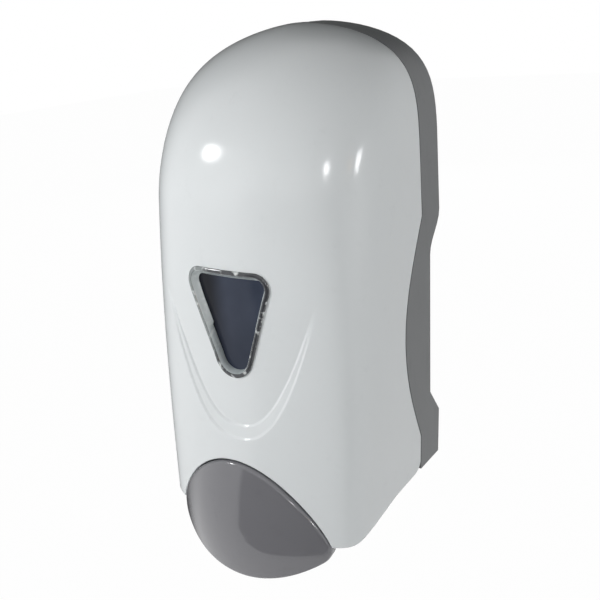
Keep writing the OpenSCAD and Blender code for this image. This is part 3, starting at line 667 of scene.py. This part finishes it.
def cover_skin(bm, grow):
    """Lays one skin of the cover as a grid, and returns its vertices by column and row."""
    start = len(bm.verts)
    bmesh.ops.create_grid(bm, x_segments=len(columns) - 1, y_segments=row_count - 1, size=1)
    bm.verts.ensure_lookup_table()
    fresh = bm.verts[start:]
    low, high = min(v.co.x for v in fresh), max(v.co.x for v in fresh)
    table = {}
    for vert in fresh:
        i = round((vert.co.x - low) / (high - low) * (len(columns) - 1))
        j = round((high - vert.co.y) / (high - low) * (row_count - 1))
        table[i, j] = vert
    for i, u in enumerate(columns):
        drops = column_drops(u, grow)
        for j, drop in enumerate(drops):
            point = skin_point(u, max(drop, FIRST_DROP), grow)
            if j == 0:
                point = Vector((0, -BACK_Y - SPLIT_GAP, point.z))
            if point.y < FRONT_Y:
                point.y += scoop(point.x, point.z)
            table[i, j].co = point
    return table


print("edges rounded to", EDGE_R, "and", REAR_R, "mm")

# %% [markdown]
# The window is a shield: a flat top, two round corners, and two straight sides that meet a larger
# arc below. Arcs and the lines that touch them both need only five sizes, and the same outline,
# grown or shrunk, gives the hole in the cover, the rim, the bevel and the pane.

# %% The window's outline
WINDOW_CX, WINDOW_CZ, WINDOW_EZ, CORNER_R, END_R = 17.1, 19.0, -17.0, 7.5, 11.5


def window_ring(grow):
    """The window's outline as seen from the front, clockwise from the top's middle."""
    slant = math.atan2(WINDOW_CX, WINDOW_CZ - WINDOW_EZ)
    touch = math.asin((END_R - CORNER_R) / math.hypot(WINDOW_CX, WINDOW_CZ - WINDOW_EZ)) - slant

    def on_corner(angle):
        r = CORNER_R + grow
        return WINDOW_CX + r * math.cos(angle), WINDOW_CZ + r * math.sin(angle)

    def on_end(angle):
        r = END_R + grow
        return r * math.cos(angle), WINDOW_EZ + r * math.sin(angle)

    (x0, z0), (x1, z1) = on_corner(touch), on_end(touch)
    right = [(x, WINDOW_CZ + CORNER_R + grow) for x in evenly(0, WINDOW_CX, 12)]
    right += [on_corner(angle) for angle in evenly(math.pi / 2, touch, 12)]
    right += [(x0 + (x1 - x0) * t, z0 + (z1 - z0) * t) for t in evenly(0, 1, 26)]
    right += [on_end(angle) for angle in evenly(touch, -math.pi / 2, 14) + [-math.pi / 2]]
    return right + [(-x, z) for x, z in reversed(right[1:-1])]


def inside_ring(x, z, ring):
    """Whether a point lies inside a closed ring of points."""
    inside = False
    for (x0, z0), (x1, z1) in zip(ring, ring[1:] + ring[:1]):
        if (z0 > z) != (z1 > z) and x < x0 + (x1 - x0) * (z - z0) / (z1 - z0):
            inside = not inside
    return inside


def nearest_on(x, z, ring):
    """The nearest point of a closed ring to x and z."""
    best, found = 1e9, (x, z)
    for (x0, z0), (x1, z1) in zip(ring, ring[1:] + ring[:1]):
        dx, dz = x1 - x0, z1 - z0
        t = max(0.0, min(1.0, ((x - x0) * dx + (z - z0) * dz) / (dx * dx + dz * dz)))
        px, pz = x0 + dx * t, z0 + dz * t
        gap = (px - x) ** 2 + (pz - z) ** 2
        if gap < best:
            best, found = gap, (px, pz)
    return found


def near_window(point):
    """Whether a point lies on the front within the box round the window."""
    return point.y < FRONT_Y and abs(point.x) < 30 and abs(point.z) < 40


HOLE_MARGIN = 1.6
hole = window_ring(-HOLE_MARGIN)
print("points round the window's hole:", len(hole))

# %% [markdown]
# Now the two skins can be laid, the outer one with its rounded edges and fine faces along the
# steps of the scoop. The window's hole is made by deleting the faces inside its outline and moving
# the points at the border onto it. A boolean would do it too, but it leaves long thin faces that
# show in the gloss.

# %% Build the cover shell
STEP_REACH = 1.9
bm = bmesh.new()
outer = cover_skin(bm, 0.0)

# the outer skin's free edges are rounded over, along its own normals
bm.normal_update()
flip = -1 if outer[len(columns) // 2, row_count // 2].normal.y > 0 else 1
for (i, j), vert in outer.items():
    drop = CROWN_Z - vert.co.z
    foot = edge_steps[j - row_count] if j >= row_count - len(edge_steps) else math.inf
    rear = -vert.co.y - edge_depth(drop) - SPLIT_GAP
    back = eased(foot, EDGE_R) + eased(rear, REAR_R)
    if back:
        vert.co -= vert.normal * flip * min(back, EDGE_R)

# the scoop's two steps need finer faces than the rest of the skin
near_steps = []
for edge in bm.edges:
    centre = (edge.verts[0].co + edge.verts[1].co) / 2
    if centre.y < FRONT_Y and SCOOP_LOW - 5 < centre.z < SCOOP_HIGH - 1:
        inside, fade = from_scoop_edge(centre.x, centre.z)
        if min(abs(inside), abs(inside - band_width(fade))) < STEP_REACH:
            near_steps.append(edge)
bmesh.ops.subdivide_edges(bm, edges=near_steps, cuts=2, use_grid_fill=True)
for vert in bm.verts:
    x, y, z = vert.co
    if y < FRONT_Y and abs(x) < SCOOP_HALF_W + 5 and SCOOP_LOW - 4 < z < SCOOP_HIGH:
        vert.co.y = front_y(x, z) + scoop(x, z)
inner = cover_skin(bm, -WALL)

# the opening for the window, hidden under its rim
gone = []
for face in bm.faces:
    centre = face.calc_center_median()
    if near_window(centre) and inside_ring(centre.x, centre.z, hole):
        gone.append(face)
bmesh.ops.delete(bm, geom=gone, context="FACES")
for table, grow in ((outer, 0.0), (inner, -WALL)):
    for vert in table.values():
        if vert.is_valid and vert.is_boundary and near_window(vert.co):
            x, z = nearest_on(vert.co.x, vert.co.z, hole)
            vert.co = (x, front_y(x, z, grow) + scoop(x, z), z)

# both skins are closed into one shell along their free edges
bmesh.ops.remove_doubles(bm, verts=bm.verts, dist=1e-4)
free = [edge for edge in bm.edges if edge.is_boundary]
round_hole = [edge for edge in free if all(near_window(vert.co) for vert in edge.verts)]
bmesh.ops.bridge_loops(bm, edges=round_hole)
bmesh.ops.bridge_loops(bm, edges=[edge for edge in free if edge not in round_hole])
bmesh.ops.recalc_face_normals(bm, faces=bm.faces)
finish_piece(bm, "cover_shell", "cover", finishes["cover_white"],
             ["front_cover"], sharp=50)

# %% [markdown]
# Inside the cover are the bosses that it turns and carries the push bar on, and the catch that
# the lock's cam holds. They are turned pieces and one block, seated in the wall.

# %% The bosses and the catch inside the cover
PIVOT_Y, PIVOT_Z = -76.0, -66.3
HINGE_BOSS_X, HINGE_BOSS_R = 51.9, 6.7
PIVOT_BOSS_X, PIVOT_BOSS_R = 45.4, 5
HINGE_BORE_R, PIVOT_BORE_R = 2.55, 2.5
HINGE_SEAT, PIVOT_SEAT = 1.1, 0.3
CATCH_SIZE, CATCH_AT = (8, 3, 11.9), (0, -26, 126.95)


def boss(x0, x1, y, z, radius, bore):
    """A bored boss that stands along X from x0 to x1, its mouth slightly chamfered."""
    length, lead = x1 - x0, 0.5
    profile = [(bore + lead, 0), (radius - lead, 0), (radius, lead), (radius, length),
               (bore, length), (bore, lead)]
    return turned(profile, (x0, y, z))


def both_hands(bm):
    """Adds the mirror image across the middle plane."""
    geometry = bm.verts[:] + bm.edges[:] + bm.faces[:]
    bmesh.ops.mirror(bm, geom=geometry, matrix=Matrix(), merge_dist=-1, axis="X")
    bmesh.ops.recalc_face_normals(bm, faces=bm.faces)
    return bm


def inner_half(z):
    """Half the width between the cover's walls at that height."""
    return spans(CROWN_Z - z, -WALL)[0]


catch = bmesh.new()
bmesh.ops.create_cube(catch, size=1)
bmesh.ops.scale(catch, vec=CATCH_SIZE, verts=catch.verts)
bmesh.ops.translate(catch, vec=CATCH_AT, verts=catch.verts)
bmesh.ops.bevel(catch, geom=catch.edges[:], offset=0.5, segments=2, affect="EDGES",
                profile=0.5, material=-1)
hinge_boss = both_hands(boss(HINGE_BOSS_X, inner_half(HEEL_Z) + HINGE_SEAT, HEEL_Y, HEEL_Z,
                             HINGE_BOSS_R, HINGE_BORE_R))
pivot_boss = both_hands(boss(PIVOT_BOSS_X, inner_half(PIVOT_Z) + PIVOT_SEAT, PIVOT_Y, PIVOT_Z,
                             PIVOT_BOSS_R, PIVOT_BORE_R))
finish_piece(joined([hinge_boss, pivot_boss, catch]), "cover_bosses", "cover",
             finishes["cover_white"], ["front_cover"])

# %% [markdown]
# The sight window is one clear moulding with a rim that stands proud of the cover and a pane that
# lies back. Clear plastic shows what is behind it: the top of the rim looks dark, because it sees
# the unlit inside, and the deep bevel inside it looks pale, because it sees the cover's cut edge.
# A renderer could find that by refraction, but slowly and with noise. Here the rim, the bevel and
# the pane are three pieces, each with its own finish, into which that light and shade is painted:
# dark tones for the unlit inside, pale ones for the cut edge, a lighter left side and glints. Rim
# and bevel are swept: like rings of the window's outline are joined one to the next. Low down the
# bevel gets narrower at a small step.

# %% The window's rim and bevel
BEVEL_STEP_Z, BEVEL_STEP_GROW = -2.5, -2.7
RIM_PROFILE = [(0.35, 0.02), (0.5, 0.45), (0.3, 0.95), (-0.2, 1.25), (-0.9, 1.3), (-1.5, 1.1),
               (-1.75, 0.6), (-1.75, 0.02)]
BEVEL_PROFILE = [(-1.45, 0.9), (-1.8, 0.75), (-2.5, -0.6), (-3.5, -2.2), (-3.9, -2.5),
                 (-3.9, -3.2), (-1.45, -3.2)]


def window_loop(grow, height):
    """One ring of the outline. Below the step the bevel's lower rings reach less far in."""
    short = window_ring(max(grow, BEVEL_STEP_GROW))
    return [surface(*(lower if upper[1] < BEVEL_STEP_Z else upper), height)
            for upper, lower in zip(window_ring(grow), short)]


for name, profile, finish in (("window_rim", RIM_PROFILE, rim_finish),
                              ("window_bevel", BEVEL_PROFILE, bevel_finish)):
    finish_piece(swept([window_loop(g, h) for g, h in profile], closed=True), name, "cover",
                 finish, ["sight_window"])

# %% The window's pane
PANE_GROW, PANE_FRONT, PANE_BACK, PANE_MID_Z = -2.4, -2.7, -3.6, 2


def pane_ring(share, height):
    """The pane's outline, drawn in to a share of its size."""
    return [surface(x * share, PANE_MID_Z + (z - PANE_MID_Z) * share, height)
            for x, z in window_ring(PANE_GROW)]


pane_rings = [pane_ring(share, PANE_FRONT) for share in (0.12, 0.3, 0.5, 0.7, 0.86, 0.96, 1.0)] \
    + [pane_ring(share, PANE_BACK) for share in (1.0, 0.96, 0.7, 0.4, 0.12)]
finish_piece(swept(pane_rings, mid_first=surface(0, PANE_MID_Z, PANE_FRONT),
                   mid_last=surface(0, PANE_MID_Z, PANE_BACK)),
             "window_pane", "cover", finishes["window_smoke"], ["sight_window"])

# %% [markdown]
# The push bar is a thin, crowned tray, round seen from above and bowed seen from the side. Its
# outline is an arch above and a flatter curve below. Rings of that outline, drawn in towards the
# middle, carry the face; further rings turn over a small rounded edge, run back along the wall,
# out into the lip that hides behind the cover, and in again behind.

# %% The push bar
BAR_HALF, BAR_RISE, BAR_CORNER_R, BAR_EDGE_R = 49.1, 39.6, 7.0, 87.0
BAR_CORNER_Z, BAR_FOOT_Z, BAR_MID_Z = -117.5, -136.5, -110.5
BAR_DEPTH, BAR_PLAN_R, BAR_SIDE_R, BAR_BULGE_Z = 117.8, 76, 111, -123
BAR_WALL, LIP_TAPER = 2.6, 8


def bar_outline(grow):
    """The bar's outline from the front: the arch, then both corners with the foot between."""
    ring = []
    for i in range(121):
        x = -(BAR_HALF + grow) * math.cos(math.pi * i / 120)
        ring.append((x, arch_z(x, BAR_HALF + grow, BAR_RISE + grow)))
    centre = BAR_HALF - BAR_CORNER_R
    corner = [(centre + (BAR_CORNER_R + grow) * math.cos(math.radians(a)),
               BAR_CORNER_Z + (BAR_CORNER_R + grow) * math.sin(math.radians(a)))
              for a in range(0, -61, -6)]
    reach = centre + BAR_CORNER_R / 2
    edge = [(reach * i / 24, BAR_FOOT_Z + BAR_EDGE_R
             - math.sqrt((BAR_EDGE_R + grow) ** 2 - (reach * i / 24) ** 2))
            for i in range(23, -24, -1)]
    return ring + corner + edge + [(-x, z) for x, z in reversed(corner)]


def bar_surface(x, z, inset):
    """A point of the crowned face: round in plan, by a radius that follows its side view."""
    side = math.sqrt((BAR_SIDE_R - inset) ** 2 - (z - BAR_BULGE_Z) ** 2)
    plan = BAR_PLAN_R - BAR_SIDE_R + side
    return Vector((x, BAR_PLAN_R - BAR_DEPTH - math.sqrt(plan ** 2 - x * x), z))


def lip_share(z):
    """The lip is full along the arch, and ends a little above its feet."""
    return 0.0 if z < TIP_Z + 0.5 else min(1.0, (z - TIP_Z) / LIP_TAPER)


def bar_loop(grow, inset, share=1.0, lip=0.0):
    """A ring of the bar, drawn in to a share of its size, or out by the lip along the arch."""
    ring = []
    for (x, z), (lip_x, lip_z) in zip(bar_outline(grow), bar_outline(grow + lip)):
        out = lip_share(z)
        x, z = x + (lip_x - x) * out, z + (lip_z - z) * out
        ring.append(bar_surface(x * share, BAR_MID_Z + (z - BAR_MID_Z) * share, inset))
    return ring


shares = [0.06, 0.16, 0.28, 0.4, 0.52, 0.64, 0.75, 0.85, 0.93, 0.975]
bar_rings = [bar_loop(-1.1, 0.0, share) for share in shares] \
    + [bar_loop(-1.1, 0.0), bar_loop(-0.6, 0.1), bar_loop(-0.25, 0.35), bar_loop(-0.05, 0.75),
       bar_loop(0.0, 1.2), bar_loop(-0.5, 4.6), bar_loop(-0.6, 5.0, lip=5.1),
       bar_loop(-1.4, 7.0, lip=5.9), bar_loop(-BAR_WALL, 7.0), bar_loop(-BAR_WALL, BAR_WALL)] \
    + [bar_loop(-BAR_WALL, BAR_WALL, share) for share in reversed(shares[::2])]
finish_piece(swept(bar_rings, mid_first=bar_surface(0, BAR_MID_Z, 0),
                   mid_last=bar_surface(0, BAR_MID_Z, BAR_WALL)),
             "push_bar_tray", "bar", finishes["bar_grey"], ["push_bar"], sharp=40)

# %% [markdown]
# The remaining pieces have the right shape in the CAD model, but every edge of it is knife sharp,
# and no moulded or pressed edge is. A copy of such a mesh is merged, its flat faces are dissolved
# back into whole ones, and a narrow bevel rounds the edges that turn by more than a set angle.

# %% Softened copies of CAD nodes
slots = {part["node"]: part["material_slot"] for part in frame["record"]["subparts"]}


def softened(node, width, segments=2):
    """A copy of a CAD node with its sharp edges rounded by width millimetres."""
    bm = bmesh.new()
    bm.from_mesh(nodes[node].data)
    bmesh.ops.remove_doubles(bm, verts=bm.verts, dist=2e-6)
    bmesh.ops.dissolve_limit(bm, angle_limit=math.radians(1), verts=bm.verts, edges=bm.edges)
    bmesh.ops.scale(bm, vec=(1 / MM,) * 3, verts=bm.verts)
    piece = finish_piece(bm, node + "_soft", body_of(nodes[node])[0],
                         finishes[slots[node]], [node])
    bevel = piece.modifiers.new("rounded edges", "BEVEL")
    bevel.width = width * MM
    bevel.segments = segments
    bevel.limit_method = "ANGLE"
    bevel.angle_limit = math.radians(30)
    bevel.harden_normals = True


softened("back_plate", 0.7, 3)
softened("bar_yoke", 0.5)
softened("bottle_shelf", 0.5)

# %% [markdown]
# The pump's return spring is a coil between the pump's fixed end, above, and its piston, below.
# It shortens when the bar is pressed, which no rigid piece can do. Here it gets a mesh of its own,
# drawn as rings round a helix at its full length.

# %% The return spring
low, high = (Vector(corner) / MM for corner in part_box("pump_spring"))
WIRE_R, TURNS, STEPS, STROKE = 0.6, 5, 36, 6
coil_radius = (high.x - low.x) / 2 - WIRE_R
hub, climb = (low + high) / 2, high.z - low.z - 2 * WIRE_R
hub.z = low.z + WIRE_R
up = Vector((0, 0, 1))
wire_rings, wire_middles = [], []
for i in range(TURNS * STEPS + 1):
    turn = 2 * math.pi * i / STEPS
    out = Vector((math.cos(turn), math.sin(turn), 0))
    middle = hub + out * coil_radius + up * (climb * i / TURNS / STEPS)
    wire_middles.append(middle)
    wire_rings.append([middle + out * (WIRE_R * math.cos(a)) + up * (WIRE_R * math.sin(a))
                       for a in evenly(0, 2 * math.pi, 10)])
spring = finish_piece(swept(wire_rings, mid_first=wire_middles[0], mid_last=wire_middles[-1]),
                      "return_spring", body_of(nodes["pump_spring"])[0],
                      finishes["spring_steel"], ["pump_spring"])
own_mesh(spring)
print("spring", round(high.z - low.z, 2), "mm long, radius", round(coil_radius, 2))

# %% [markdown]
# Every other CAD node keeps its shape and only gets its finish.

# %% Finishes for the CAD nodes
replaced = {"front_cover", "sight_window", "push_bar", "back_plate", "bar_yoke", "bottle_shelf",
            "pump_spring"}
for name, node in nodes.items():
    if name not in replaced:
        finish = finishes[slots[name]]
        if not node.material_slots:
            node.data.materials.append(finish)
        for place in node.material_slots:
            place.material = finish
print("nodes dressed:", len(nodes) - len(replaced))

# %% [markdown]
# The studio is plain: a pale floor well below, white all round, four large soft lights that shape
# the form, and four small round lamps whose reflections give the gloss its bright spots.

# %% Floor and surroundings
FLOOR_Z, FLOOR_SIZE, GLOW_SHARE, AMBIENT = -0.42, 6, 0.985, 0.05


def studio_object(bm, name, material):
    """An object of the studio's own, from a bmesh in metres."""
    mesh = bpy.data.meshes.new(name)
    bm.to_mesh(mesh)
    bm.free()
    mesh.materials.append(material)
    item = bpy.data.objects.new(name, mesh)
    bpy.context.scene.collection.objects.link(item)
    return item


def seen_directly(graph):
    """1 for camera, glossy and transmission rays, which should find a white room."""
    most = 0.0
    for ray in ("Is Camera Ray", "Is Glossy Ray", "Is Transmission Ray"):
        found = graph.add("ShaderNodeLightPath", {}, {}, ray)
        most = graph.add("ShaderNodeMath", {"operation": "MAXIMUM"}, {0: found, 1: most})
    return most


matt = Finish("pale floor", base_color=(0.6, 0.6, 0.6), roughness=0.8)
glow = matt.add("ShaderNodeEmission", {}, {"Strength": 1.0})
both = matt.add("ShaderNodeMixShader", {}, {0: seen_directly(matt) * GLOW_SHARE,
                                            1: Channel(matt, matt.shader.outputs[0]), 2: glow})
matt.fill(matt.tree.nodes["Material Output"].inputs["Surface"], both)
floor_sheet = bmesh.new()
bmesh.ops.create_grid(floor_sheet, x_segments=1, y_segments=1, size=FLOOR_SIZE)
bmesh.ops.translate(floor_sheet, vec=(0, 0, FLOOR_Z), verts=floor_sheet.verts)
floor = studio_object(floor_sheet, "floor", matt.material)

world = bpy.data.worlds.new("studio")
bpy.context.scene.world = world
world.use_nodes = True
room = Graph(world.node_tree)
background = room.tree.nodes["Background"]
room.fill(background.inputs["Color"], (1, 1, 1))
room.fill(background.inputs["Strength"], seen_directly(room) * (1 - AMBIENT) + AMBIENT)
print("floor at", FLOOR_Z, "m, room at", AMBIENT, "for the rays that light the object")

# %% [markdown]
# The camera stands in front of the dispenser and to its right, level with the crown, and looks
# down at it. Blender wants its axes as the columns of a matrix: right, up and back.

# %% Camera
CAMERA_AT = Vector((0.23720, -0.36308, 0.13497))
LENS_MM, SENSOR_MM = 46.41, 36
azimuth, pitch, roll = (math.radians(a) for a in (36.239, 19.687, -5.098))
ahead = Vector((-math.sin(azimuth) * math.cos(pitch), math.cos(azimuth) * math.cos(pitch),
                -math.sin(pitch)))
level = Vector((math.cos(azimuth), math.sin(azimuth), 0))
below = ahead.cross(level)
right = math.cos(roll) * level - math.sin(roll) * below
down = math.sin(roll) * level + math.cos(roll) * below
lens = bpy.data.cameras.new("camera")
lens.lens, lens.sensor_width = LENS_MM, SENSOR_MM
lens.clip_start = 0.01
camera = bpy.data.objects.new("camera", lens)
camera.matrix_world = Matrix((
    (right.x, -down.x, -ahead.x, CAMERA_AT.x), (right.y, -down.y, -ahead.y, CAMERA_AT.y),
    (right.z, -down.z, -ahead.z, CAMERA_AT.z), (0, 0, 0, 1)))
bpy.context.scene.collection.objects.link(camera)
bpy.context.scene.camera = camera
print("camera", round(CAMERA_AT.length, 3), "m from the wall screws' middle")

# %% [markdown]
# One lamp could both light a glossy thing and shine in it, but then neither can be set alone. So
# the large lights are hidden from the gloss and only shape the form, and the small round ones
# light nothing and only shine.

# %% Lamps
LAMP_REACH = 2.2


def lamp(name, place, target, size, power):
    """A disk lamp at place that faces target."""
    light = bpy.data.lights.new(name, "AREA")
    light.shape, light.size, light.energy = "DISK", size, power
    holder = bpy.data.objects.new(name, light)
    holder.location = place
    holder.rotation_euler = (Vector(target) - Vector(place)).to_track_quat("-Z", "Y").to_euler()
    bpy.context.scene.collection.objects.link(holder)
    return holder


def toward(azimuth_deg, height_deg, distance):
    """A place seen from the object at that azimuth, right of straight ahead, and height."""
    a, h = math.radians(azimuth_deg), math.radians(height_deg)
    return Vector((math.sin(a) * math.cos(h), -math.cos(a) * math.cos(h), math.sin(h))) * distance


for name, place, size, power in (("left light", toward(-36, 15, 0.8), 0.5, 4.1),
                                 ("front light", toward(26, 14, 0.8), 0.5, 1.6),
                                 ("side light", toward(95, -4, 2.5), 1.5, 29),
                                 ("rear light", toward(-150, 12, 2.5), 1.5, 16)):
    large = lamp(name, place, (0, -0.05, 0), size, power)
    large.visible_glossy = large.visible_camera = False
for name, across, high, size, power, colour in (
        ("round lamp left", -49, 24.8, 0.30, 5.5, (1, 1, 1)),
        ("round lamp right", 47.6, 24.0, 0.26, 4.5, (1, 1, 1)),
        ("round lamp side", 89.5, 14.2, 0.26, 4.0, (1, 1, 1)),
        ("warm lamp", 77.8, 17.4, 0.16, 0.35, (1, 0.62, 0.35))):
    round_lamp = lamp(name, toward(across, high, LAMP_REACH), (0, 0, 0), size, power)
    round_lamp.data.color = colour
    round_lamp.visible_diffuse = False
print("lights:", len(bpy.data.lights))

# %% [markdown]
# A white object on white ground loses its outline, because gloss seen at a flat angle mirrors the
# white behind it. Studios hang dark cloths where only the reflections find them. So does this
# scene: one cloth lies and rises behind the object, and draws its outline; another stands in
# front, and gives the push bar its dark reflection. Both are hidden from the camera, cast no
# shadow and take no light from the room.

# %% The dark cloths
def dark_cloth(name, middle, half, soft, near, far, top, soft_top, tone):
    """A cloth on the floor from near to far that then rises to top, round an arc of azimuths.

    Its tone turns to white within soft degrees of its sides and soft_top of its top.
    """
    sheet, foot_z, count = bmesh.new(), FLOOR_Z + 0.01, 24
    strips = []
    for step in range(count + 1):
        turn = 2 * step / count - 1
        ahead = toward(middle + half * turn, 0, 1)
        strips.append([sheet.verts.new(ahead * reach + Vector((0, 0, z))) for reach, z in (
            (near * (1 + 0.6 * turn ** 6), foot_z), (far, foot_z), (far, top))])
    for one, after in zip(strips, strips[1:]):
        for i in (0, 1):
            sheet.faces.new((one[i], after[i], after[i + 1], one[i + 1]))
    f = Finish(name, base_color=(0, 0, 0), specular_ior_level=0, emission_strength=1)
    ahead, across = toward(middle, 0, 1), toward(middle + 90, 0, 1)
    beside = f.along("X") * across.x + f.along("Y") * across.y
    angle = beside.turned_from(f.along("X") * ahead.x + f.along("Y") * ahead.y)
    side = (angle * angle).above(math.radians(half - soft) ** 2, math.radians(half) ** 2)
    fade = 1 - (1 - side) * (1 - f.along("Z").above(top - soft_top, top))
    f.set(emission_color=f.mix(fade, (tone,) * 3, (1, 1, 1)))
    cloth = studio_object(sheet, name, f.material)
    cloth.visible_camera = cloth.visible_shadow = cloth.visible_diffuse = False
    print(name, "spans", 2 * half, "degrees")


dark_cloth("cloth_behind", 222, 66, 32, 0.15, 1.4, 3.3, 1.9, tone=0.04)
dark_cloth("cloth_in_front", 18, 46, 3, 0.57, 1.3, 0.3, 0.08, tone=0.18)

# %% Finish
bpy.context.scene.view_settings.view_transform = "Standard"
